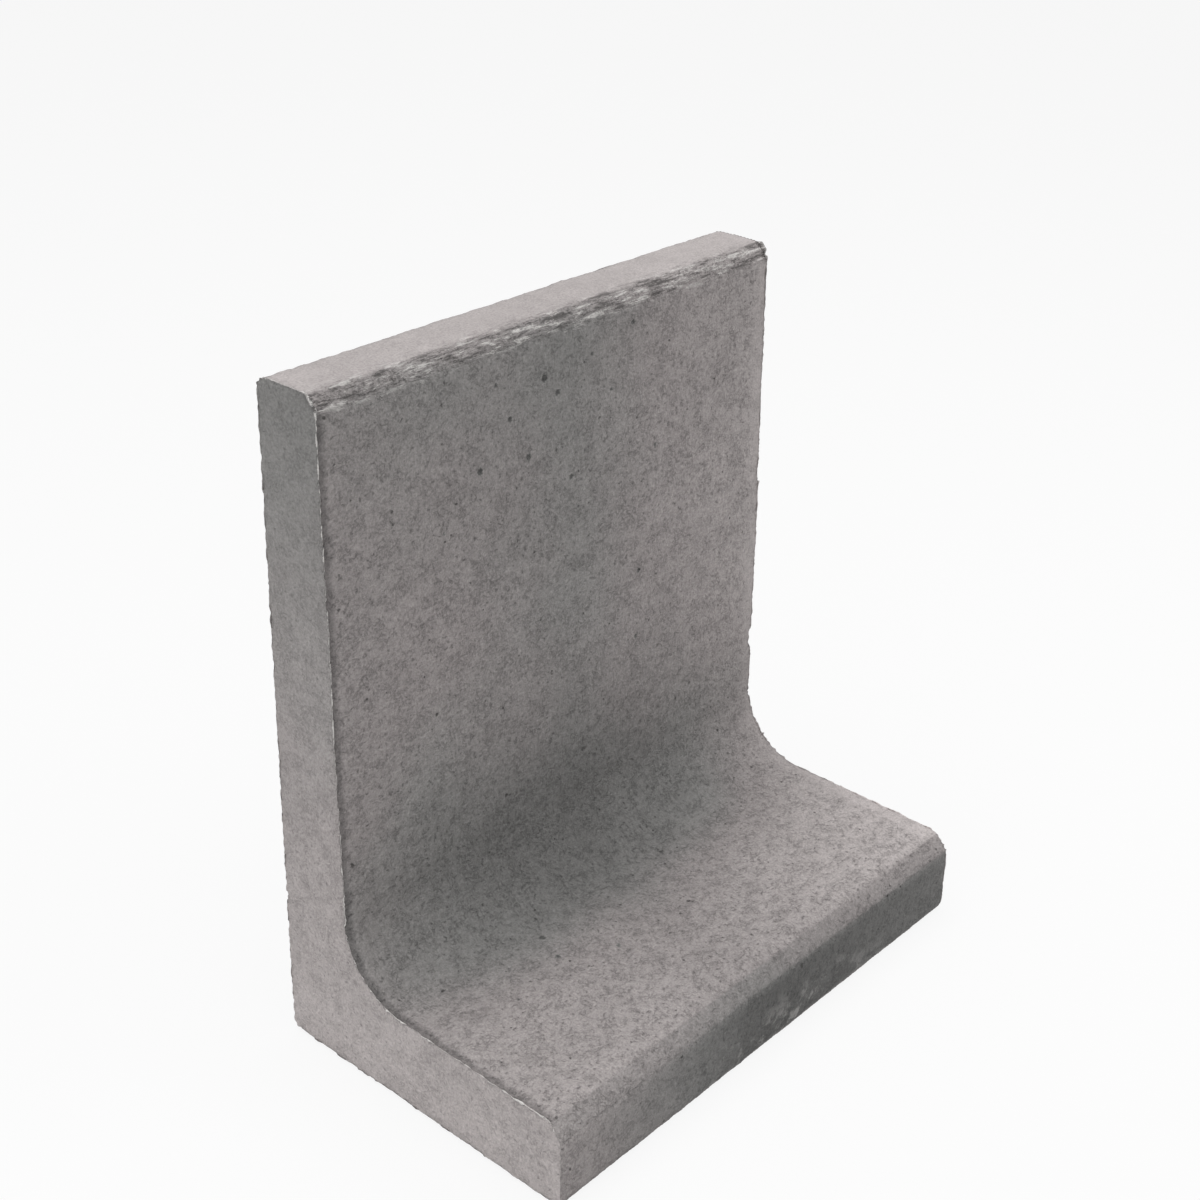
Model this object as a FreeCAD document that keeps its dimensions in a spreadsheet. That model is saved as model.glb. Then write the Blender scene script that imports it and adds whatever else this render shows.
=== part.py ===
"""An L-shaped retaining block of pressed concrete, modelled as one solid.

One L section is carried along the block's length: an upright wall, a foot that lies in front of
it, and a rounded root where the two meet. The section's exposed edges are cut back by chamfers,
and the edges round both ends are eased.

Frame: +Z is up, X runs along the length and the toe of the foot points along -Y. The origin is
the centre of the block's footprint, on the ground. Sizes are in millimetres.
"""
import FreeCAD, Part
import Sketcher

import os

NODE = "retaining_block"

# alias: (millimetres, what it sizes)
DIMENSIONS = {
    "block_length": (355, "along the wall, from end to end"),
    "block_height": (400, "from the ground to the crest"),
    "block_depth": (210, "from the back of the wall to the toe"),
    "wall_at_crest": (45, "thickness of the wall at its crest"),
    "wall_at_root": (51, "thickness of the wall where it meets the foot"),
    "foot_at_root": (56, "thickness of the foot where it meets the wall"),
    "foot_at_toe": (54, "thickness of the foot at its toe"),
    "root_radius": (42, "rounded root between wall and foot"),
    "crest_front_across": (6, "front crest chamfer, measured across the crest"),
    "crest_front_drop": (8, "front crest chamfer, measured down the wall"),
    "crest_back": (5, "back crest chamfer, the same both ways"),
    "toe_across": (9, "toe chamfer, measured back along the foot"),
    "toe_drop": (11, "toe chamfer, measured down the toe"),
    "heel": (5, "chamfer under the back of the wall, the same both ways"),
    "toe_base": (2, "chamfer under the toe, the same both ways"),
    "end_arris": (1.5, "radius of the eased edges round both ends"),
}


def make_sheet(doc):
    """Writes the driving dimensions to a spreadsheet, each under its alias."""
    sheet = doc.addObject("Spreadsheet::Sheet", "dimensions")
    for row, (alias, (value, meaning)) in enumerate(DIMENSIONS.items(), start=1):
        sheet.set(f"A{row}", meaning)
        sheet.set(f"B{row}", str(value))
        sheet.setAlias(f"B{row}", alias)
    doc.recompute()
    return sheet


def origin_plane(body, role):
    """The body's own origin plane that has this role, such as YZ_Plane."""
    return next(plane for plane in body.Origin.OriginFeatures if plane.Role == role)


def section_corners(sheet):
    """The corners of the plain L as (y, z), from the heel round by the toe and the crest."""
    back = sheet.block_depth / 2
    toe = back - sheet.block_depth
    return [
        (back, 0),
        (toe, 0),
        (toe, sheet.foot_at_toe),
        (back - sheet.wall_at_root, sheet.foot_at_root),
        (back - sheet.wall_at_crest, sheet.block_height),
        (back, sheet.block_height),
    ]


def draw_section(doc, body, sheet):
    """Draws the plain L, with sharp corners, and ties each of its sizes to the sheet."""
    sketch = body.newObject("Sketcher::SketchObject", "section")
    sketch.AttachmentSupport = [(origin_plane(body, "YZ_Plane"), "")]
    sketch.MapMode = "FlatFace"

    points = [FreeCAD.Vector(y, z, 0) for y, z in section_corners(sheet)]
    for start, end in zip(points, points[1:] + points[:1]):
        sketch.addGeometry(Part.LineSegment(start, end), False)
    base, toe, foot_top, wall_front, crest, wall_back = range(6)
    start_of, end_of, axes = 1, 2, -1

    for line in range(6):
        following = (line + 1) % 6
        sketch.addConstraint(Sketcher.Constraint("Coincident", line, end_of, following, start_of))
    sketch.addConstraint(Sketcher.Constraint("Horizontal", base))
    sketch.addConstraint(Sketcher.Constraint("Vertical", toe))
    sketch.addConstraint(Sketcher.Constraint("Horizontal", crest))
    sketch.addConstraint(Sketcher.Constraint("Vertical", wall_back))
    sketch.addConstraint(Sketcher.Constraint("PointOnObject", base, start_of, axes))

    # Each size: its direction, the two points that it lies between, and what it is bound to.
    heel_point = (base, start_of)
    sizes = {
        "heel_from_centre": ("X", (axes, start_of), heel_point, "block_depth / 2"),
        "depth": ("X", (base, end_of), heel_point, "block_depth"),
        "height": ("Y", heel_point, (wall_back, start_of), "block_height"),
        "toe_thickness": ("Y", (base, end_of), (toe, end_of), "foot_at_toe"),
        "root_across": ("X", (foot_top, end_of), heel_point, "wall_at_root"),
        "root_up": ("Y", heel_point, (foot_top, end_of), "foot_at_root"),
        "crest_across": ("X", (wall_front, end_of), heel_point, "wall_at_crest"),
    }
    for name, (direction, first, second, formula) in sizes.items():
        gap = sketch.getPoint(*second) - sketch.getPoint(*first)
        value = gap.x if direction == "X" else gap.y
        number = sketch.addConstraint(
            Sketcher.Constraint(f"Distance{direction}", *first, *second, value))
        sketch.renameConstraint(number, name)
        sketch.setExpression(f"Constraints.{name}", f"{sheet.Name}.{formula}")
    doc.recompute()
    return sketch


def carry_along_length(doc, body, sketch, sheet):
    """Pads the section along X, the same way to both sides of the middle."""
    pad = body.newObject("PartDesign::Pad", "length")
    pad.Profile = sketch
    pad.SideType = "Symmetric"
    pad.setExpression("Length", f"{sheet.Name}.block_length")
    sketch.Visibility = False
    doc.recompute()
    return pad


def long_edge(shape, y, z):
    """The name of the edge that runs along X through this point of the section."""
    for number, edge in enumerate(shape.Edges, start=1):
        ends = [vertex.Point for vertex in edge.Vertexes]
        if all(abs(end.y - y) < 0.01 and abs(end.z - z) < 0.01 for end in ends):
            return f"Edge{number}"
    raise ValueError(f"no edge runs along the block at y {y}, z {z}")


def ease_root(doc, body, before, sheet):
    """Rounds the inside corner between the wall and the foot."""
    y, z = section_corners(sheet)[3]
    fillet = body.newObject("PartDesign::Fillet", "root")
    fillet.Base = (before, [long_edge(before.Shape, y, z)])
    fillet.setExpression("Radius", f"{sheet.Name}.root_radius")
    doc.recompute()
    return fillet


def cut_edge(doc, body, before, sheet, name, corner, along_y, along_z):
    """Chamfers one long edge of the section.

    The two sizes are measured along the faces that meet at the edge: along_y on the level one
    and along_z on the upright one. The chamfer is turned round if it comes out the other way.
    """
    y, z = corner
    chamfer = body.newObject("PartDesign::Chamfer", name)
    chamfer.Base = (before, [long_edge(before.Shape, y, z)])
    chamfer.ChamferType = "Two distances"
    chamfer.setExpression("Size", f"{sheet.Name}.{along_y}")
    chamfer.setExpression("Size2", f"{sheet.Name}.{along_z}")
    doc.recompute()
    drops = [abs(vertex.Z - z) for vertex in chamfer.Shape.Vertexes
             if abs(vertex.Y - y) < 0.4 * sheet.get(along_z) and abs(vertex.Z - z) > 0.01]
    if abs(min(drops) - sheet.get(along_z)) > 0.05 * sheet.get(along_z):
        chamfer.FlipDirection = not chamfer.FlipDirection
        doc.recompute()
    return chamfer


def ease_ends(doc, body, before, sheet):
    """Rounds over every edge of the two end faces."""
    half = sheet.block_length / 2
    edges = []
    for number, edge in enumerate(before.Shape.Edges, start=1):
        box = edge.BoundBox
        if abs(abs(box.XMin) - half) < 0.01 and box.XLength < 0.01:
            edges.append(f"Edge{number}")
    fillet = body.newObject("PartDesign::Fillet", "ends")
    fillet.Base = (before, edges)
    fillet.setExpression("Radius", f"{sheet.Name}.end_arris")
    doc.recompute()
    return fillet


def make_block(doc, sheet):
    """Builds the block's body, feature by feature."""
    body = doc.addObject("PartDesign::Body", NODE)
    body.Label = NODE
    sketch = draw_section(doc, body, sheet)
    heel, toe_base, toe_top, _, crest_front, crest_back = section_corners(sheet)
    made = carry_along_length(doc, body, sketch, sheet)
    made = ease_root(doc, body, made, sheet)
    cuts = [
        ("crest_front_edge", crest_front, "crest_front_across", "crest_front_drop"),
        ("crest_back_edge", crest_back, "crest_back", "crest_back"),
        ("toe_edge", toe_top, "toe_across", "toe_drop"),
        ("heel_edge", heel, "heel", "heel"),
        ("toe_base_edge", toe_base, "toe_base", "toe_base"),
    ]
    for name, corner, along_y, along_z in cuts:
        made = cut_edge(doc, body, made, sheet, name, corner, along_y, along_z)
    ease_ends(doc, body, made, sheet)
    body.Placement = FreeCAD.Placement()
    return body


def check(doc, body):
    """Raises an error if any object failed to build, or if the block isn't one valid solid."""
    failed = [item.Name for item in doc.Objects if {"Invalid", "Error"} & set(item.State)]
    if failed:
        raise RuntimeError(f"failed to build: {', '.join(failed)}")
    shape = body.Shape
    if shape.isNull() or not shape.isValid() or len(shape.Solids) != 1:
        raise RuntimeError(f"{body.Label} is not one valid solid")


def main():
    """Builds the block and writes its STEP file."""
    os.makedirs("parts", exist_ok=True)
    doc = FreeCAD.newDocument("retaining_block")
    sheet = make_sheet(doc)
    body = make_block(doc, sheet)
    doc.recompute()
    check(doc, body)
    box = body.Shape.BoundBox
    print(f"{body.Label}: {box.XLength:.2f} x {box.YLength:.2f} x {box.ZLength:.2f} mm, "
          f"{body.Shape.Volume / 1e6:.4f} litres")
    body.Shape.exportStep(f"parts/{body.Label}.step")


main()
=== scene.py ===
"""The looks of a concrete L-shaped retaining block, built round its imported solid.

The block is one casting of dry-pressed concrete. Its piece is modelled again from the solid's
sizes, worn at its arrises, pitted with air holes and given a procedural concrete finish.
Lengths are in metres in the scene, and in millimetres wherever a name ends in _mm.
"""
import logging
import math
from dataclasses import dataclass, field
from enum import Enum

import bpy
import numpy as np
from mathutils import Euler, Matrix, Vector


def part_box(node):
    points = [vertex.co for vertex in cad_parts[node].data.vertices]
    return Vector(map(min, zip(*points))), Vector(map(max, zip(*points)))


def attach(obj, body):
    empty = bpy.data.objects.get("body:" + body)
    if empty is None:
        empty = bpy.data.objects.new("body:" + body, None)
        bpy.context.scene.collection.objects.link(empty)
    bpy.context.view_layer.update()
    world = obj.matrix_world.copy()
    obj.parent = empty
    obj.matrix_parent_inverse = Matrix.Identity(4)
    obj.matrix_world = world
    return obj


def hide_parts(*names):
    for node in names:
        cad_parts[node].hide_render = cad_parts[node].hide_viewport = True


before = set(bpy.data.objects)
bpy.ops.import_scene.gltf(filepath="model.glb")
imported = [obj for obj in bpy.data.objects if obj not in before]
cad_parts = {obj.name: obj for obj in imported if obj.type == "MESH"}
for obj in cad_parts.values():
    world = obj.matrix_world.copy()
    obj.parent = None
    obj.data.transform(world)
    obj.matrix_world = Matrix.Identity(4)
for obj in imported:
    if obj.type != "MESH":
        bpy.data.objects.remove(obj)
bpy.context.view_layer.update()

LOG = logging.getLogger("retaining_block")
MM = 0.001
MATH = "ShaderNodeMath"
VECTOR = "ShaderNodeVectorMath"
RANGE = "ShaderNodeMapRange"
MIX = "ShaderNodeMix"
SMOOTH = {"interpolation_type": "SMOOTHSTEP"}
COLOURS = {"data_type": "RGBA"}
Source = bpy.types.Node | bpy.types.NodeSocket


def linear(colour: str) -> tuple[float, float, float, float]:
    """Turns an sRGB hex colour to linear.

    Args:
        colour: six hex digits after a hash sign.

    Returns:
        Red, green, blue and an alpha of 1.
    """
    levels = [int(colour[at:at + 2], 16) / 255 for at in (1, 3, 5)]
    red, green, blue = (
        level / 12.92 if level <= 0.04045 else ((level + 0.055) / 1.055) ** 2.4
        for level in levels
    )
    return red, green, blue, 1.0


def add_node(tree: bpy.types.NodeTree, kind: str, settings: dict | None = None,
             links: dict | None = None) -> bpy.types.Node:
    """Adds a node with its settings and links.

    Args:
        tree: the node tree that it goes in.
        kind: the node's type, such as ShaderNodeMath.
        settings: values by property name or by input number or name.
        links: what feeds each input, by input number or name: a socket, or a node for the first
            of its outputs that is in use.

    Returns:
        The new node.
    """
    node = tree.nodes.new(kind)
    for name, value in (settings or {}).items():
        if isinstance(name, str) and hasattr(node, name):
            setattr(node, name, value)
        else:
            node.inputs[name].default_value = value
    for name, source in (links or {}).items():
        if isinstance(source, bpy.types.Node):
            source = next(socket for socket in source.outputs if socket.enabled)
        tree.links.new(source, node.inputs[name])
    return node


def only(piece: bpy.types.Object) -> None:
    """Leaves one object selected and active.

    Args:
        piece: the object that the next operators work on.
    """
    bpy.ops.object.select_all(action="DESELECT")
    piece.select_set(True)
    bpy.context.view_layer.objects.active = piece


def select_faces(piece: bpy.types.Object, wanted: list[bool]) -> None:
    """Selects some of a piece's faces, from object mode, and goes into edit mode.

    Args:
        piece: the object whose faces they are.
        wanted: for each face, whether it is selected.
    """
    bpy.ops.object.mode_set(mode="EDIT")
    bpy.ops.mesh.select_mode(type="FACE")
    bpy.ops.mesh.select_all(action="DESELECT")
    bpy.ops.object.mode_set(mode="OBJECT")
    piece.data.polygons.foreach_set("select", wanted)
    bpy.ops.object.mode_set(mode="EDIT")


def select_edge(piece: bpy.types.Object, y: float, z: float) -> None:
    """Selects the edge that runs along X at one place, from object mode, and goes into edit mode.

    Args:
        piece: the object whose edge it is.
        y: the edge's place from back to front.
        z: the edge's height.
    """
    bpy.ops.object.mode_set(mode="EDIT")
    bpy.ops.mesh.select_mode(type="EDGE")
    bpy.ops.mesh.select_all(action="DESELECT")
    bpy.ops.object.mode_set(mode="OBJECT")
    points = piece.data.vertices
    for edge in piece.data.edges:
        ends = [points[number].co for number in edge.vertices]
        edge.select = all(abs(end.y - y) < 1e-5 and abs(end.z - z) < 1e-5 for end in ends)
    bpy.ops.object.mode_set(mode="EDIT")


def apply_modifier(piece: bpy.types.Object, name: str, kind: str, **settings: object) -> None:
    """Adds a modifier and applies it.

    Args:
        piece: the object that it works on.
        name: the modifier's name.
        kind: the modifier's type, such as DISPLACE.
        settings: the modifier's own settings.
    """
    only(piece)
    modifier = piece.modifiers.new(name, kind)
    for setting, value in settings.items():
        setattr(modifier, setting, value)
    bpy.ops.object.modifier_apply(modifier=name)


@dataclass(frozen=True)
class Surface:
    """How one side looks: its relief, and the light and shade painted on it from place to place.

    Its painted light and shade is given at the left, the middle and the right of the block, and
    by factors on it at the ground, half-way up and at the crest.
    """

    relief: float
    shading_across: tuple[float, float, float]
    shading_up: tuple[float, float, float] = (1.0, 1.0, 1.0)


class Side(Enum):
    """The sides of the block: the faces of its section, and its ends."""

    # The light and shade on each side are painted here: the crest lighter as lit from above, the
    # toe's face darker as in shadow, the inner faces lighter towards the right, and the end lighter
    # low down from the floor's bounce.
    INNER = Surface(1.0, (1.09, 0.91, 1.29), (1.03, 1.06, 0.88))
    CREST = Surface(0.25, (1.20, 1.16, 1.26))
    CREST_EDGE = Surface(1.2, (1.10, 1.0, 1.18))
    BACK = Surface(0.9, (0.98, 0.95, 1.0), (1.05, 1.01, 0.97))
    UNDERSIDE = Surface(1.0, (0.95, 0.95, 0.95))
    HEEL_EDGE = Surface(0.9, (0.95, 0.95, 0.95))
    TOE = Surface(0.9, (1.2, 0.37, 0.58))
    TOE_EDGE = Surface(0.9, (1.1, 0.80, 1.0))
    END = Surface(0.6, (1.0, 1.0, 1.3), (1.40, 1.04, 0.66))


@dataclass(frozen=True)
class PressedConcrete:
    """Dry-pressed grey cement concrete: matt, sandy, finely pitted, with lime on its arrises.

    Cement paste over 0 to 2 mm sand gives a dull warm grey with a grain of about a millimetre,
    and pressing leaves small open air holes and crevices between the grains.
    """

    body: str = "#9b9594"
    cool: str = "#969593"
    # Pale lime, also painted as highlights on the crumbled crest.
    lime_and_highlight: str = "#dedbd8"
    # The pit colour is painted shade, in the air holes and in the torn hollows of the crest.
    pit: str = "#474543"
    ior: float = 1.5
    roughness: float = 0.9
    sand_mm: float = 0.6
    grit_mm: float = 1.3
    lump_mm: float = 4.5
    blotch_mm: float = 22.0
    cloud_mm: float = 75.0
    crevice_mm: float = 1.7
    streak_mm: float = 1.6
    mottle_mm: float = 5.5

    def build(self) -> bpy.types.Material:
        """Makes the material's nodes.

        Returns:
            The finished material.
        """
        material = bpy.data.materials.new("dry_pressed_concrete")
        material.use_nodes = True
        tree = material.node_tree
        tree.nodes.clear()
        made: dict[str, Source] = {
            name: add_node(tree, "ShaderNodeAttribute", {"attribute_name": name}).outputs["Fac"]
            for name in ("painted_shading", "relief", "arris_mm", "bloom", "band", "mottle", "crumble")}
        self.add_noises(tree, made)
        self.add_crevices(tree, made)
        self.add_pits(tree, made)
        self.add_shade(tree, made)
        self.add_colour(tree, made)
        self.add_height(tree, made)
        bump = add_node(tree, "ShaderNodeBump", {"Strength": 1.0, "Distance": MM},
                        {"Height": made["height"]})
        shader = add_node(tree, "ShaderNodeBsdfPrincipled",
                          {"IOR": self.ior, "Roughness": self.roughness},
                          {"Base Color": made["colour"], "Normal": bump})
        add_node(tree, "ShaderNodeOutputMaterial", {}, {"Surface": shader})
        return material

    def add_noises(self, tree: bpy.types.NodeTree, made: dict[str, Source]) -> None:
        """Adds the places in millimetres, and the noises that read them.

        Args:
            tree: the material's node tree.
            made: the nodes so far, by name; the new ones go in it.
        """
        place = add_node(tree, "ShaderNodeTexCoord").outputs["Object"]
        mm = add_node(tree, VECTOR, {"operation": "SCALE", "Scale": 1.0 / MM}, {0: place})
        along = add_node(tree, VECTOR, {"operation": "MULTIPLY", 1: (0.16, 1.0, 1.0)}, {0: mm})
        made["mm"] = mm
        # Each one: its name, its size in millimetres, its detail and its roughness.
        for name, size_mm, detail, rough in (
                ("clouds", self.cloud_mm, 2.0, 0.5), ("blotches", self.blotch_mm, 3.0, 0.6),
                ("mottles", self.mottle_mm, 5.0, 0.7), ("lumps", self.lump_mm, 2.0, 0.55),
                ("winding", self.crevice_mm, 3.0, 0.6), ("grit", self.grit_mm, 4.0, 0.7),
                ("sand", self.sand_mm, 2.0, 0.6), ("streaks", self.streak_mm, 4.0, 0.75)):
            made[name] = add_node(
                tree, "ShaderNodeTexNoise",
                {"Scale": 0.5 / size_mm, "Detail": detail, "Roughness": rough},
                {"Vector": along if name == "streaks" else mm})

    def add_crevices(self, tree: bpy.types.NodeTree, made: dict[str, Source]) -> None:
        """Adds crevices that wind between the grains, broken up by the lumps.

        Args:
            tree: the material's node tree.
            made: the nodes so far, by name; the new one goes in it.
        """
        centred = add_node(tree, MATH, {"operation": "SUBTRACT", 1: 0.5}, {0: made["winding"]})
        folded = add_node(tree, MATH, {"operation": "ABSOLUTE"}, {0: centred})
        thin = add_node(tree, RANGE, {**SMOOTH, 1: 0.0, 2: 0.06, 3: 1.0, 4: 0.0}, {0: folded})
        where = add_node(tree, RANGE, {**SMOOTH, 1: 0.60, 2: 0.40}, {0: made["lumps"]})
        winding = add_node(tree, MATH, {"operation": "MULTIPLY"}, {0: thin, 1: where})
        gaps = add_node(tree, RANGE, {**SMOOTH, 1: 0.30, 2: 0.40, 3: 1.0, 4: 0.0},
                        {0: made["grit"]})
        made["crevice"] = add_node(tree, MATH, {"operation": "MAXIMUM"}, {0: winding, 1: gaps})

    def add_pits(self, tree: bpy.types.NodeTree, made: dict[str, Source]) -> None:
        """Adds small air holes, one to a cell, each with its own size: most cells have none.

        Args:
            tree: the material's node tree.
            made: the nodes so far, by name; the new ones go in it.
        """
        uneven = add_node(tree, MATH, {"operation": "MULTIPLY_ADD", 1: 0.5, 2: -0.25},
                          {0: made["grit"]})
        pit = add_node(tree, "ShaderNodeValue")
        for cell_mm, least, most in ((4.5, 0.87, 1.5), (13.0, 0.91, 1.3)):
            cells = add_node(tree, "ShaderNodeTexVoronoi", {"Scale": 1.0 / cell_mm},
                             {"Vector": made["mm"]})
            lot = add_node(tree, "ShaderNodeSeparateColor", {}, {0: cells.outputs["Color"]})
            radius = add_node(tree, MATH, {"operation": "MULTIPLY_ADD", 1: most, 2: -least * most},
                              {0: lot})
            reach = add_node(tree, MATH, {"operation": "ADD"}, {0: cells, 1: uneven})
            inside = add_node(tree, MATH, {"operation": "SUBTRACT"}, {0: radius, 1: reach})
            hole = add_node(tree, RANGE, {**SMOOTH, 1: -0.03, 2: 0.06}, {0: inside})
            pit = add_node(tree, MATH, {"operation": "MAXIMUM"}, {0: pit, 1: hole})
        open_face = add_node(tree, RANGE, {**SMOOTH, 1: 0.2, 2: 0.8}, {0: made["relief"]})
        made["open_face"] = open_face
        made["pit"] = add_node(tree, MATH, {"operation": "MULTIPLY"}, {0: pit, 1: open_face})

    def add_shade(self, tree: bpy.types.NodeTree, made: dict[str, Source]) -> None:
        """Adds how light each place is: the painted light and shade kept at each vertex, times the
        noises and the crevices.

        Args:
            tree: the material's node tree.
            made: the nodes so far, by name; the new one goes in it.
        """
        shade: Source = made["painted_shading"]
        for name, swing in (("clouds", 0.10), ("blotches", 0.10), ("lumps", 0.06), ("sand", 0.42)):
            factor = add_node(tree, MATH, {"operation": "MULTIPLY_ADD", 1: 2 * swing,
                                           2: 1.0 - swing}, {0: made[name]})
            shade = add_node(tree, MATH, {"operation": "MULTIPLY"}, {0: shade, 1: factor})
        # Grit and crevices count for as much as the side is rough, and the crevices are painted
        # darker, as painted shade in them.
        rough = add_node(tree, MATH, {"operation": "MULTIPLY_ADD", 1: 0.92, 2: -0.46},
                         {0: made["grit"]})
        rough = add_node(tree, MATH, {"operation": "MULTIPLY_ADD", 1: -0.22},
                         {0: made["crevice"], 2: rough})
        rough = add_node(tree, MATH, {"operation": "MULTIPLY_ADD", 2: 1.0},
                         {0: rough, 1: made["relief"]})
        made["shade"] = add_node(tree, MATH, {"operation": "MULTIPLY"}, {0: shade, 1: rough})

    def add_colour(self, tree: bpy.types.NodeTree, made: dict[str, Source]) -> None:
        """Adds the colour: the body with its painted light and shade, a dark band inside the near
        arris, and what lies over them.

        Args:
            tree: the material's node tree.
            made: the nodes so far, by name; the new one goes in it.
        """
        # The body is cooler where it is darker: where the painted shade falls, and in the darker
        # clouds.
        shading_and_clouds = add_node(tree, MATH, {"operation": "MULTIPLY_ADD", 1: 0.8},
                        {0: made["clouds"], 2: made["painted_shading"]})
        patch = add_node(tree, RANGE, {**SMOOTH, 1: 1.02, 2: 1.50}, {0: shading_and_clouds})
        body = add_node(tree, MIX, {**COLOURS, 6: linear(self.cool), 7: linear(self.body)},
                        {0: patch})
        # The distance from the arris in millimetres, made ragged by grit and lumps.
        wander = add_node(tree, MATH, {"operation": "MULTIPLY_ADD", 1: 3.0},
                          {0: made["grit"], 2: made["arris_mm"]})
        wander = add_node(tree, MATH, {"operation": "MULTIPLY_ADD", 1: 2.0},
                          {0: made["lumps"], 2: wander})
        ragged = add_node(tree, MATH, {"operation": "SUBTRACT", 1: 2.5}, {0: wander})
        band = add_node(tree, RANGE, {**SMOOTH, 1: 3.0, 2: 8.0, 3: 1.0, 4: 0.0}, {0: ragged})
        band = add_node(tree, MATH, {"operation": "MULTIPLY"}, {0: band, 1: made["band"]})
        dark = add_node(tree, MATH, {"operation": "MULTIPLY_ADD", 1: -0.4, 2: 1.0}, {0: band})
        shade = add_node(tree, MATH, {"operation": "MULTIPLY"}, {0: made["shade"], 1: dark})
        colour = add_node(tree, VECTOR, {"operation": "SCALE"}, {0: body, "Scale": shade})
        # Over it: pits with painted shade, a pale line on the arrises, mottles on the toe and the
        # crumbling at the crest with painted highlights and painted shade, each as its share, where
        # it may be, how much of it shows and its colour.
        line = add_node(tree, RANGE, {**SMOOTH, 1: 0.0, 2: 0.8, 3: 1.0, 4: 0.0}, {0: ragged})
        mottle = add_node(tree, RANGE, {**SMOOTH, 1: 0.50, 2: 0.62}, {0: made["mottles"]})
        # Painted highlights on the raised crumbs, and painted shade in the torn hollows between
        # them.
        crumb_highlight = add_node(tree, RANGE, {**SMOOTH, 1: 0.53, 2: 0.61}, {0: made["streaks"]})
        torn = add_node(tree, RANGE, {**SMOOTH, 1: 0.48, 2: 0.39}, {0: made["streaks"]})
        for share, extent, strength, paint in (
                (made["pit"], "open_face", 0.75, self.pit), (line, "bloom", 1.0, self.lime_and_highlight),
                (mottle, "mottle", 0.45, self.lime_and_highlight), (crumb_highlight, "crumble", 0.75, self.lime_and_highlight),
                (torn, "crumble", 0.7, self.pit)):
            share = add_node(tree, MATH, {"operation": "MULTIPLY"}, {0: share, 1: made[extent]})
            share = add_node(tree, MATH, {"operation": "MULTIPLY", 1: strength}, {0: share})
            colour = add_node(tree, MIX, {**COLOURS, 7: linear(paint)}, {0: share, 6: colour})
        made["colour"] = colour

    def add_height(self, tree: bpy.types.NodeTree, made: dict[str, Source]) -> None:
        """Adds the relief in millimetres: lumps, grit and crevices as deep as the side is rough.

        Args:
            tree: the material's node tree.
            made: the nodes so far, by name; the new one goes in it.
        """
        height = add_node(tree, MATH, {"operation": "MULTIPLY", 1: 1.2}, {0: made["lumps"]})
        for name, depth in (("grit", 2.2), ("crevice", -0.4)):
            height = add_node(tree, MATH, {"operation": "MULTIPLY_ADD", 1: depth},
                              {0: made[name], 2: height})
        height = add_node(tree, MATH, {"operation": "MULTIPLY"}, {0: height, 1: made["relief"]})
        for name, depth in (("sand", 0.5), ("pit", -0.8)):
            height = add_node(tree, MATH, {"operation": "MULTIPLY_ADD", 1: depth},
                              {0: made[name], 2: height})
        torn = add_node(tree, MATH, {"operation": "MULTIPLY", 1: 3.4}, {0: made["streaks"]})
        made["height"] = add_node(tree, MATH, {"operation": "MULTIPLY_ADD"},
                                  {0: torn, 1: made["crumble"], 2: height})


@dataclass(frozen=True)
class PaintedFloor:
    """A matt pale floor that reads as white to the eye and still takes a soft shadow."""

    paint: str = "#dadada"
    whiteness: float = 0.88

    def build(self) -> bpy.types.Material:
        """Makes the material's nodes.

        Returns:
            The finished material.
        """
        material = bpy.data.materials.new("pale_floor_paint")
        material.use_nodes = True
        tree = material.node_tree
        tree.nodes.clear()
        rays = add_node(tree, "ShaderNodeLightPath")
        seen = add_node(tree, "ShaderNodeMath", {"operation": "MAXIMUM"},
                        {0: rays.outputs["Is Camera Ray"], 1: rays.outputs["Is Glossy Ray"]})
        seen = add_node(tree, "ShaderNodeMath", {"operation": "MAXIMUM"},
                        {0: seen, 1: rays.outputs["Is Transmission Ray"]})
        share = add_node(tree, "ShaderNodeMath", {"operation": "MULTIPLY", 1: self.whiteness},
                         {0: seen})
        paint = add_node(tree, "ShaderNodeBsdfPrincipled",
                         {"Base Color": linear(self.paint), "Roughness": 0.9})
        white = add_node(tree, "ShaderNodeEmission", {"Color": linear("#ffffff")})
        mixed = add_node(tree, "ShaderNodeMixShader", {},
                         {0: share, 1: paint, 2: white})
        add_node(tree, "ShaderNodeOutputMaterial", {}, {"Surface": mixed})
        return material


@dataclass(frozen=True)
class Chip:
    """A flake knocked off an arris: its centre, and its half sizes along X, Y and Z."""

    centre_mm: tuple[float, float, float]
    half_mm: tuple[float, float, float]


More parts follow.
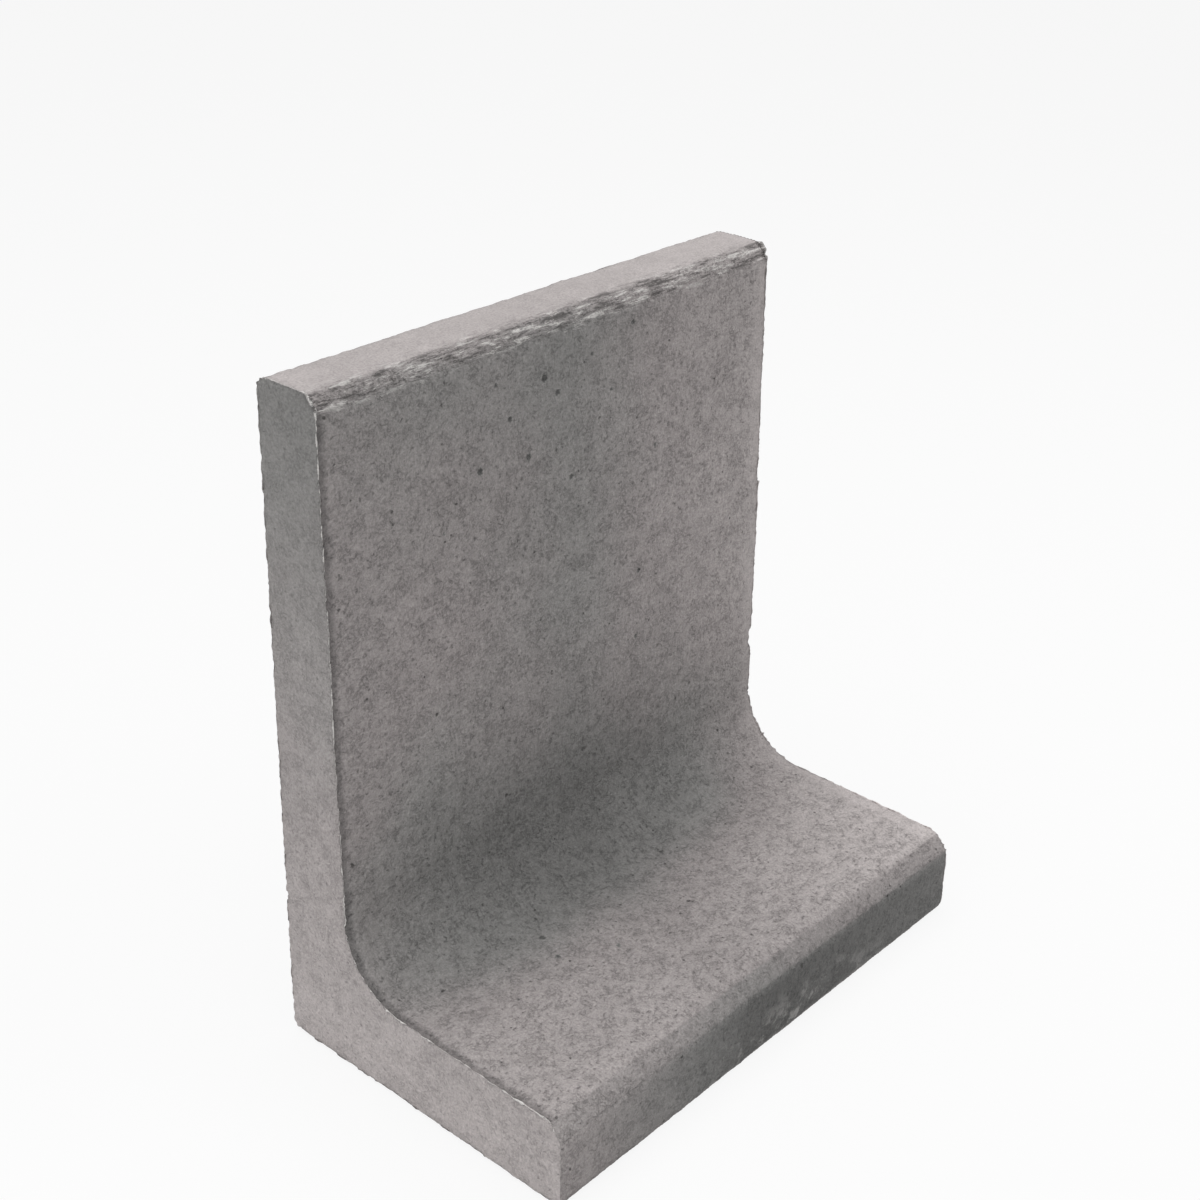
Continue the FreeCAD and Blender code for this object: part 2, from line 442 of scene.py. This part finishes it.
@dataclass
class RetainingBlock:
    """The whole block: an upright wall, a foot and the rounded root between them."""

    node: str = "retaining_block"
    wall_at_crest: float = 45 * MM
    wall_at_root: float = 51 * MM
    foot_at_root: float = 56 * MM
    foot_at_toe: float = 54 * MM
    root_radius: float = 42 * MM
    root_segments: int = 14
    crest_front: tuple[float, float] = (6 * MM, 8 * MM)
    crest_back: tuple[float, float] = (5 * MM, 5 * MM)
    toe_edge: tuple[float, float] = (9 * MM, 11 * MM)
    heel_edge: tuple[float, float] = (5 * MM, 5 * MM)
    toe_base: tuple[float, float] = (2 * MM, 2 * MM)
    # Air holes that stand out on the wall, as (across, up, width) in millimetres.
    wall_holes: tuple[tuple[float, float, float], ...] = (
        (73, 391, 4.2), (54, 380, 3.2), (-18, 366, 4.4), (-8, 355, 3.8), (-31, 324, 3.6),
        (3, 302, 3.4), (-68, 327, 3.8), (-45, 350, 3.2), (62, 223, 3.4), (20, 370, 2.6),
        (-55, 372, 2.6), (36, 345, 2.4), (-95, 300, 2.4), (60, 180, 2.6), (75, 300, 2.6),
    )
    # Air holes on the foot, as (across, along the depth, width) in millimetres.
    foot_holes: tuple[tuple[float, float, float], ...] = (
        (-72, 8, 3.6), (-78, -10, 3.0), (-47, -28, 3.4), (60, -40, 2.6), (-120, -20, 2.4),
    )
    chips: tuple[Chip, ...] = (
        Chip((-178.5, 106, 91), (3.5, 3.5, 5.5)),
        Chip((-178.5, 106, 18), (3.0, 3.5, 4.0)),
        Chip((179.5, 53, 134), (6.5, 8.0, 12.0)),
        Chip((180.0, 51, 96), (6.0, 8.0, 9.0)),
        Chip((179.0, -107, -1), (5.0, 7.0, 6.0)),
        Chip((-179.0, -107, 36), (3.0, 3.0, 6.0)),
        Chip((-179.0, 63, 402), (3.0, 4.0, 3.0)),
        Chip((90, 107, -1), (12.0, 4.0, 4.0)),
        Chip((-60, 107, 401), (9.0, 3.0, 3.0)),
    )
    # How far out from the surface a hole's centre lies, and its half width, as shares of its width.
    hole_rise: float = 0.15
    hole_half: float = 0.55
    # The painted shade in an air hole's bed, and the factor that darkens a chip's bed.
    hole_shade: float = 0.5
    chip_tone: float = 0.92
    length: float = field(init=False)
    depth: float = field(init=False)
    height: float = field(init=False)

    def __post_init__(self) -> None:
        """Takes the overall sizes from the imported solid."""
        low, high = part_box(self.node)
        self.length, self.depth, self.height = high - low

    @property
    def back(self) -> float:
        """Where the back of the wall stands along Y."""
        return self.depth / 2

    @property
    def toe(self) -> float:
        """Where the toe of the foot stands along Y."""
        return -self.depth / 2

    @property
    def root(self) -> tuple[float, float]:
        """The sharp corner, as (y, z), that the rounded root replaces."""
        return self.back - self.wall_at_root, self.foot_at_root

    def build(self) -> bpy.types.Object:
        """Models the block from a plain slab to its worn shape.

        Returns:
            The finished piece.
        """
        piece = self.slab()
        self.shape_toe(piece)
        self.raise_wall(piece)
        self.round_root(piece)
        self.cut_edge((self.back - self.wall_at_crest, self.height), (1, -1), self.crest_front)
        self.cut_edge((self.back, self.height), (-1, -1), self.crest_back)
        self.cut_edge((self.back, 0.0), (-1, 1), self.heel_edge)
        self.cut_edge((self.toe, 0.0), (1, 1), self.toe_base)
        self.mesh_finely(piece)
        self.mark_sides(piece)
        self.mark_arrises(piece)
        self.wear(piece)
        self.break_chips(piece)
        self.open_air_holes(piece)
        self.keep_inside(piece)
        piece.vertex_groups.clear()
        only(piece)
        bpy.ops.object.shade_smooth_by_angle(angle=math.radians(50))
        return piece

    def slab(self) -> bpy.types.Object:
        """Adds the foot as a slab under the whole footprint.

        Returns:
            The new piece.
        """
        bpy.ops.object.select_all(action="DESELECT")
        bpy.ops.mesh.primitive_cube_add(size=1, location=(0, 0, self.foot_at_root / 2))
        piece = bpy.context.object
        piece.name = "concrete_block"
        piece.scale = (self.length, self.depth, self.foot_at_root)
        bpy.ops.object.transform_apply(location=True, rotation=True, scale=True)
        return piece

    def shape_toe(self, piece: bpy.types.Object) -> None:
        """Marks where the wall will stand, thins the foot towards its toe and chamfers the toe.

        Args:
            piece: the slab.
        """
        bpy.ops.object.mode_set(mode="EDIT")
        bpy.ops.mesh.select_all(action="SELECT")
        bpy.ops.mesh.bisect(plane_co=(0, self.root[0], 0), plane_no=(0, 1, 0))
        bpy.ops.object.mode_set(mode="OBJECT")
        select_edge(piece, self.toe, self.foot_at_root)
        bpy.ops.transform.translate(value=(0, 0, self.foot_at_toe - self.foot_at_root))
        bpy.ops.object.mode_set(mode="OBJECT")
        self.cut_edge((self.toe, self.foot_at_toe), (1, -1), self.toe_edge)

    def raise_wall(self, piece: bpy.types.Object) -> None:
        """Draws the wall up from the back of the slab and leans its face to its draft.

        Args:
            piece: the slab.
        """
        wall_front, foot_top = self.root
        faces = piece.data.polygons
        select_faces(piece, [
            face.center.z > foot_top - 1e-4 and face.center.y > wall_front for face in faces])
        rise = (0, 0, self.height - foot_top)
        bpy.ops.mesh.extrude_region_move(TRANSFORM_OT_translate={"value": rise})
        bpy.ops.object.mode_set(mode="OBJECT")
        select_edge(piece, wall_front, self.height)
        bpy.ops.transform.translate(value=(0, self.wall_at_root - self.wall_at_crest, 0))
        bpy.ops.object.mode_set(mode="OBJECT")

    def round_root(self, piece: bpy.types.Object) -> None:
        """Rounds the inside corner between the wall and the foot.

        Args:
            piece: the plain L.
        """
        wall_lean = math.atan2(self.wall_at_root - self.wall_at_crest,
                               self.height - self.foot_at_root)
        foot_lean = math.atan2(self.foot_at_root - self.foot_at_toe,
                               self.depth - self.wall_at_root)
        open_angle = math.pi / 2 + wall_lean + foot_lean
        tangent = self.root_radius / math.tan(open_angle / 2)
        select_edge(piece, *self.root)
        bpy.ops.mesh.bevel(offset_type="OFFSET", offset=tangent, segments=self.root_segments,
                           profile=0.5)
        bpy.ops.object.mode_set(mode="OBJECT")

    def cut_edge(self, corner: tuple[float, float], inward: tuple[int, int],
                 sizes: tuple[float, float]) -> None:
        """Cuts the chamfer off one long edge of the active piece.

        Args:
            corner: the edge's place as (y, z).
            inward: the way from the corner to the solid, along Y and along Z.
            sizes: how much is cut along the level face and along the upright one.
        """
        (y, z), (across, drop) = corner, sizes
        outward = Vector((0, -inward[0] * drop, -inward[1] * across)).normalized()
        bpy.ops.object.mode_set(mode="EDIT")
        bpy.ops.mesh.select_all(action="SELECT")
        bpy.ops.mesh.bisect(plane_co=(0, y + inward[0] * across, z), plane_no=outward,
                            use_fill=True, clear_outer=True, threshold=1e-6)
        bpy.ops.object.mode_set(mode="OBJECT")

    def mesh_finely(self, piece: bpy.types.Object) -> None:
        """Divides the surface into cells of about 2.6 mm, and of half that along the arrises.

        Args:
            piece: the sharp block.
        """
        apply_modifier(piece, "cells", "REMESH", mode="SHARP", octree_depth=8, scale=0.6,
                       sharpness=1.0)
        close = self.to_arris(self.points_of(piece)) < 3.2 * MM
        faces = piece.data.polygons
        select_faces(piece, [all(close[number] for number in face.vertices) for face in faces])
        bpy.ops.mesh.subdivide(number_cuts=1)
        bpy.ops.object.mode_set(mode="OBJECT")

    def outline(self) -> list[tuple[Side, tuple[float, float], tuple[float, float]]]:
        """The section's outline, from the heel round by the toe and the crest.

        Returns:
            Each line of the outline: its side, and its ends as (y, z).
        """
        crest_y = self.back - self.wall_at_crest
        wall_y, foot_z = self.root
        wall_lean = math.atan2(self.wall_at_root - self.wall_at_crest, self.height - foot_z)
        foot_lean = math.atan2(foot_z - self.foot_at_toe, self.depth - self.wall_at_root)
        reach = self.root_radius / math.tan((math.pi / 2 + wall_lean + foot_lean) / 2)
        on_foot = Vector((wall_y - reach * math.cos(foot_lean),
                          foot_z - reach * math.sin(foot_lean)))
        on_wall = Vector((wall_y + reach * math.sin(wall_lean),
                          foot_z + reach * math.cos(wall_lean)))
        centre = on_foot + self.root_radius * Vector((-math.sin(foot_lean), math.cos(foot_lean)))
        start = math.atan2(*(on_foot - centre).yx)
        turn = math.pi / 2 - wall_lean - foot_lean
        arc = [centre + self.root_radius * Vector((math.cos(start + turn * step / 12),
                                                   math.sin(start + turn * step / 12)))
               for step in range(13)]
        corners = [
            (Side.UNDERSIDE, (self.back - self.heel_edge[0], 0.0)),
            (Side.UNDERSIDE, (self.toe + self.toe_base[0], 0.0)),
            (Side.TOE, (self.toe, self.toe_base[1])),
            (Side.TOE_EDGE, (self.toe, self.foot_at_toe - self.toe_edge[1])),
            (Side.INNER, (self.toe + self.toe_edge[0], self.foot_at_toe)),
            *((Side.INNER, tuple(point)) for point in arc),
            (Side.CREST_EDGE, (crest_y, self.height - self.crest_front[1])),
            (Side.CREST, (crest_y + self.crest_front[0], self.height)),
            (Side.BACK, (self.back - self.crest_back[0], self.height)),
            (Side.BACK, (self.back, self.height - self.crest_back[1])),
            (Side.HEEL_EDGE, (self.back, self.heel_edge[1])),
        ]
        following = corners[1:] + corners[:1]
        return [(side, start, end) for (side, start), (_, end) in zip(corners, following)]

    def distances(self, points: np.ndarray) -> dict[Side, np.ndarray]:
        """How far points lie from each side of the section, in the section's own plane.

        Args:
            points: the points, one to a row, as x, y and z.

        Returns:
            For each side, the distance of each point.
        """
        found: dict[Side, np.ndarray] = {}
        for side, start, end in self.outline():
            first = np.array(start)
            along = np.array(end) - first
            share = np.clip((points[:, 1:] - first) @ along / (along @ along), 0.0, 1.0)
            gap = np.linalg.norm(points[:, 1:] - first - share[:, None] * along, axis=1)
            found[side] = np.minimum(found.get(side, gap), gap)
        found[Side.END] = self.length / 2 - np.abs(points[:, 0])
        return found

    def points_of(self, piece: bpy.types.Object) -> np.ndarray:
        """Reads the places of a piece's vertices.

        Args:
            piece: the object whose vertices they are.

        Returns:
            The places, one to a row, as x, y and z.
        """
        places = np.empty(len(piece.data.vertices) * 3, np.float32)
        piece.data.vertices.foreach_get("co", places)
        return places.reshape(-1, 3).astype(float)

    def to_arris(self, points: np.ndarray) -> np.ndarray:
        """How far points on the surface lie from the nearest edge between two sides.

        Args:
            points: the points, one to a row, as x, y and z.

        Returns:
            The distance of each point.
        """
        return np.sort(np.array(list(self.distances(points).values())), axis=0)[1]

    def mark_arrises(self, piece: bpy.types.Object) -> None:
        """Weighs each vertex by how close it is to an arris, for the wear.

        Args:
            piece: the finely meshed block.
        """
        points = self.points_of(piece)
        gaps = self.distances(points)
        groups = {
            "arris": np.exp(-self.to_arris(points) / (2.6 * MM)),
            "crest_edge": np.exp(-gaps[Side.CREST_EDGE] / (2.0 * MM)),
            "corner": np.exp(-np.sort(np.array(list(gaps.values())), axis=0)[2] / (3.5 * MM)),
        }
        for name, weights in groups.items():
            group = piece.vertex_groups.new(name=name)
            steps = np.round(weights * 40).astype(int)
            for step in range(1, 41):
                group.add(np.flatnonzero(steps == step).tolist(), step / 40, "REPLACE")

    def wear(self, piece: bpy.types.Object) -> None:
        """Moves the surface inwards: uneven faces, ragged arrises and a crumbled crest edge.

        Args:
            piece: the finely meshed block.
        """
        # Each one: its name, its grain in metres, how deep it goes, its group and its stretch.
        layers = [
            ("faces", 30 * MM, 0.7 * MM, "", 1.0),
            ("sand", 3.5 * MM, 0.35 * MM, "", 1.0),
            ("arris_long", 8 * MM, 2.0 * MM, "arris", 1.0),
            ("arris_short", 3.2 * MM, 1.1 * MM, "arris", 1.0),
            ("crest_crumble", 3.4 * MM, 1.8 * MM, "crest_edge", 3.0),
        ]
        apply_modifier(piece, "blunt", "SMOOTH", factor=0.5, iterations=3, vertex_group="arris")
        apply_modifier(piece, "round", "SMOOTH", factor=0.5, iterations=8, vertex_group="corner")
        for name, grain, depth, group, stretch in layers:
            texture = bpy.data.textures.new(name, "CLOUDS")
            texture.noise_scale = grain
            texture.noise_depth = 2
            bpy.ops.object.select_all(action="DESELECT")
            bpy.ops.object.empty_add()
            helper = bpy.context.object
            helper.scale = (stretch, 1.0, 1.0)
            bpy.context.view_layer.update()
            apply_modifier(piece, name, "DISPLACE", texture=texture, texture_coords="OBJECT",
                           texture_coords_object=helper, strength=depth, mid_level=1.0,
                           vertex_group=group)
            bpy.data.objects.remove(helper)
        apply_modifier(piece, "settle", "SMOOTH", factor=0.35, iterations=1, vertex_group="arris")

    def keep_inside(self, piece: bpy.types.Object) -> None:
        """Brings any vertex that wear pushed out of the sharp block back to its surface.

        Args:
            piece: the worn block.
        """
        points = self.points_of(piece)
        limit = np.array((self.length / 2, self.depth / 2, self.height))
        points = np.clip(points, (-limit[0], -limit[1], 0.0), limit)
        wall_y, foot_z = self.root
        lean = (self.wall_at_root - self.wall_at_crest) / (self.height - foot_z)
        above = points[:, 2] > foot_z + self.root_radius
        front = wall_y + (points[:, 2] - foot_z) * lean
        points[:, 1] = np.where(above, np.maximum(points[:, 1], front), points[:, 1])
        centre = np.array((wall_y - self.root_radius, foot_z + self.root_radius))
        away = points[:, 1:] - centre
        reach = np.linalg.norm(away, axis=1)
        hollow = (away[:, 0] > 0) & (away[:, 1] < 0) & (reach < self.root_radius)
        outside = np.flatnonzero(hollow)
        points[outside, 1:] = centre + away[outside] * (self.root_radius / reach[outside, None])
        piece.data.vertices.foreach_set("co", points.astype(np.float32).ravel())
        piece.data.update()

    def scoop(self, piece: bpy.types.Object, centre: Vector, half: Vector, seed: int,
              shade: float) -> None:
        """Presses the surface back to a rough ellipsoid wherever it lies inside one.

        Args:
            piece: the block.
            centre: the middle of the ellipsoid, just outside the surface.
            half: its half sizes along X, Y and Z.
            seed: what makes its roughness its own.
            shade: a factor on the painted light and shade of its bed.
        """
        points = self.points_of(piece)
        away = (points - np.array(centre)) / np.array(half)
        reach = np.linalg.norm(away, axis=1)
        inside = np.flatnonzero(reach < 1.25)
        wobble = np.random.default_rng(seed).uniform(-1.0, 1.0, 6)
        unit = away[inside] / reach[inside, None]
        waves = np.sin(unit @ np.array([4.0, 5.0, 3.0]) * 2 + wobble[0] * 3) * 0.10
        waves += np.sin(unit @ np.array([-3.0, 6.0, 7.0]) * 2 + wobble[1] * 3) * 0.08
        edge = 1.0 + waves
        low = reach[inside] < edge
        moved = inside[low]
        points[moved] = np.array(centre) + unit[low] * edge[low, None] * np.array(half)
        piece.data.vertices.foreach_set("co", points.astype(np.float32).ravel())
        piece.data.update()
        # The bed's painted light and shade is darkened by the factor.
        painted_shading = piece.data.attributes["painted_shading"].data
        for number in moved:
            painted_shading[int(number)].value *= shade

    def break_chips(self, piece: bpy.types.Object) -> None:
        """Knocks flakes off the arrises, each with a rough bed.

        Args:
            piece: the worn block.
        """
        for seed, chip in enumerate(self.chips):
            self.scoop(piece, Vector(chip.centre_mm) * MM, Vector(chip.half_mm) * MM, seed,
                       self.chip_tone)

    def open_air_holes(self, piece: bpy.types.Object) -> None:
        """Opens the larger air holes as small round-bottomed pits.

        Args:
            piece: the chipped block.
        """
        lean = (self.wall_at_root - self.wall_at_crest) / (self.height - self.foot_at_root)
        holes = []
        for across, up, width in self.wall_holes:
            y = self.root[0] + (up * MM - self.foot_at_root) * lean
            holes.append((Vector((across * MM, y, up * MM)), Vector((0, -1, 0)), width * MM))
        for across, along, width in self.foot_holes:
            top = self.foot_at_root - 0.6 * MM
            holes.append((Vector((across * MM, along * MM, top)), Vector((0, 0, 1)), width * MM))
        # The mesh is made finer round the holes, twice, the second time nearer to them.
        for margin in (3.0 * MM, 1.2 * MM):
            points = self.points_of(piece)
            close = np.zeros(len(points), bool)
            for place, _, width in holes:
                reach = width / 2 + margin
                close |= np.linalg.norm(points - np.array(place), axis=1) < reach
            faces = piece.data.polygons
            select_faces(piece, [all(close[at] for at in face.vertices) for face in faces])
            bpy.ops.mesh.subdivide(number_cuts=1)
            bpy.ops.object.mode_set(mode="OBJECT")
        # Each hole's bed is painted darker, as painted shade in the hole.
        for seed, (place, outward, width) in enumerate(holes, start=100):
            half = Vector((width, width, width)) * self.hole_half
            self.scoop(piece, place + outward * width * self.hole_rise, half, seed,
                       self.hole_shade)

    def mark_sides(self, piece: bpy.types.Object) -> None:
        """Keeps at each vertex what the finish reads there.

        They are its painted light and shade, its relief, its distance from the end's arris in
        millimetres, and how much pale lime, dark band, mottle and crumbling there is.

        Args:
            piece: the finely meshed block, before its wear.
        """
        points = self.points_of(piece)
        gaps = self.distances(points)
        nearest = np.array(list(gaps.values())).argmin(axis=0)
        on_end = gaps[Side.END] < 0.1 * MM
        painted_shading = np.zeros(len(points))
        weights = np.zeros(len(points))
        relief = np.ones(len(points))
        half = self.length / 2
        heights = (0.0, self.height / 2, self.height)
        for number, side in enumerate(gaps):
            relief[nearest == number] = side.value.relief
            across = np.interp(points[:, 0], (-half, 0.0, half), side.value.shading_across)
            # One side's painted light and shade runs into the next one's, except at the ends.
            weight = (np.exp(-gaps[side] / (1.2 * MM)) + 1e-9) * ~on_end
            if side is Side.END:
                weight = on_end.astype(float)
            painted_shading += weight * across * np.interp(points[:, 2], heights, side.value.shading_up)
            weights += weight
        painted_shading /= weights
        far_edge = np.clip((points[:, 0] - half + 14 * MM) / (6 * MM), 0.0, 1.0)
        on_inner = gaps[Side.INNER] < 1 * MM
        relief = np.where(on_inner, relief * (1 - 0.5 * far_edge), relief)
        # The foot's top is painted lighter away from the wall, as painted light.
        on_foot = np.clip((self.root[0] - 30 * MM - points[:, 1]) / (50 * MM), 0.0, 1.0)
        painted_shading = np.where(on_inner, painted_shading * (1 + 0.18 * on_foot), painted_shading)
        outline = np.min([gap for side, gap in gaps.items() if side is not Side.END], axis=0)
        near_end = points[:, 0] < 0
        towards_toe = np.clip((self.root[0] - points[:, 1]) / (self.depth * 0.6), 0.0, 1.0)
        by_inner = np.exp(-(gaps[Side.INNER] / (9 * MM)) ** 2)
        # Painted shade in the corner of the root, deepest half-way along the block.
        from_root = np.hypot((points[:, 1] - self.root[0] + 8 * MM) / (50 * MM),
                             (points[:, 2] - self.foot_at_root - 22 * MM) / (80 * MM))
        root_shade = np.exp(-from_root ** 2) * (1 - (points[:, 0] / half) ** 2 * 0.6)
        painted_shading = np.where(on_inner, painted_shading * (1 - 0.40 * root_shade), painted_shading)
        by_toe = np.exp(-(gaps[Side.TOE] / (4 * MM)) ** 2)
        low = 1 - np.clip(points[:, 2] / (34 * MM), 0.0, 1.0)
        midway = np.exp(-((points[:, 0] - 20 * MM) / (70 * MM)) ** 2)
        by_crest = np.exp(-(gaps[Side.CREST] / (4 * MM)) ** 2)
        kept = {
            "painted_shading": painted_shading,
            "relief": relief,
            "arris_mm": (outline + gaps[Side.END]) / MM,
            "bloom": np.where(near_end, 0.35 + by_inner * (0.6 + 0.2 * towards_toe)
                              + by_crest * 0.4, 0.35),
            "band": np.where(near_end & on_inner & (gaps[Side.END] > 0.1 * MM), 1.0, 0.0),
            "mottle": by_toe * low * midway,
            "crumble": np.exp(-(gaps[Side.CREST_EDGE] / (3.5 * MM)) ** 2),
        }
        for name, values in kept.items():
            layer = piece.data.attributes.new(name, "FLOAT", "POINT")
            layer.data.foreach_set("value", values.astype(np.float32))

    def dress(self, piece: bpy.types.Object, finish: PressedConcrete) -> None:
        """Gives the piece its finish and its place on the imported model.

        Args:
            piece: the finished shape.
            finish: the concrete that it is cast from.
        """
        piece.data.materials.clear()
        piece.data.materials.append(finish.build())
        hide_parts(self.node)
        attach(piece, "root")


@dataclass
class Studio:
    """A pale floor, soft lamps and the camera."""

    camera_place: tuple[float, float, float] = (-0.73248, -0.61336, 0.73992)
    camera_turn: tuple[float, float, float] = (65.013, -1.049, -48.031)
    lens: float = 58.6
    shift_up: float = -0.0667
    world_light: float = 0.48

    def lay_floor(self) -> None:
        """Lays a wide floor under the block."""
        bpy.ops.object.select_all(action="DESELECT")
        bpy.ops.mesh.primitive_plane_add(size=14, location=(0, 0, -0.0005))
        floor = bpy.context.object
        floor.name = "floor"
        floor.data.materials.append(PaintedFloor().build())

    def hang_lamp(self, name: str, place: tuple[float, float, float], size: float,
                  power: float) -> None:
        """Hangs one square soft box that faces the block.

        Args:
            name: the lamp's name.
            place: where it hangs.
            size: the length of its side.
            power: its power in watts.
        """
        lamp = bpy.data.lights.new(name, "AREA")
        lamp.size = size
        lamp.energy = power
        holder = bpy.data.objects.new(name, lamp)
        holder.location = place
        aim = Vector((0, 0, 0.15)) - Vector(place)
        holder.rotation_euler = aim.to_track_quat("-Z", "Y").to_euler()
        bpy.context.scene.collection.objects.link(holder)

    def fill_air(self) -> None:
        """Lights the room evenly, and shows white behind the floor."""
        world = bpy.data.worlds.new("studio")
        bpy.context.scene.world = world
        world.use_nodes = True
        tree = world.node_tree
        tree.nodes.clear()
        rays = add_node(tree, "ShaderNodeLightPath")
        light = add_node(tree, "ShaderNodeBackground",
                         {"Color": linear("#ffffff"), "Strength": self.world_light})
        white = add_node(tree, "ShaderNodeBackground",
                         {"Color": linear("#ffffff"), "Strength": 1.0})
        mixed = add_node(tree, "ShaderNodeMixShader", {},
                         {0: rays.outputs["Is Camera Ray"], 1: light, 2: white})
        add_node(tree, "ShaderNodeOutputWorld", {}, {"Surface": mixed})

    def set_camera(self) -> None:
        """Places the camera and makes it the scene's own."""
        data = bpy.data.cameras.new("camera")
        data.lens = self.lens
        data.sensor_width = 36
        data.shift_y = self.shift_up
        data.clip_end = 50
        holder = bpy.data.objects.new("camera", data)
        holder.location = self.camera_place
        holder.rotation_euler = Euler([math.radians(turn) for turn in self.camera_turn])
        bpy.context.scene.collection.objects.link(holder)
        bpy.context.scene.camera = holder

    def build(self) -> None:
        """Sets up the floor, the lamps, the air and the camera."""
        self.lay_floor()
        self.hang_lamp("overhead", (-0.2, 0.2, 2.2), 1.6, 26)
        self.hang_lamp("left", (-2.0, -0.2, 0.7), 1.5, 14)
        self.hang_lamp("right", (1.0, -0.8, 1.1), 0.8, 6)
        self.fill_air()
        self.set_camera()
        bpy.context.scene.view_settings.view_transform = "Standard"


def main() -> None:
    """Builds the block and the studio."""
    logging.basicConfig(level=logging.INFO)
    block = RetainingBlock()
    piece = block.build()
    block.dress(piece, PressedConcrete())
    piece.data.calc_loop_triangles()
    LOG.info("%s: %d triangles", piece.name, len(piece.data.loop_triangles))
    Studio().build()
    LOG.info("studio: ready")


if __name__ == "__main__":
    main()
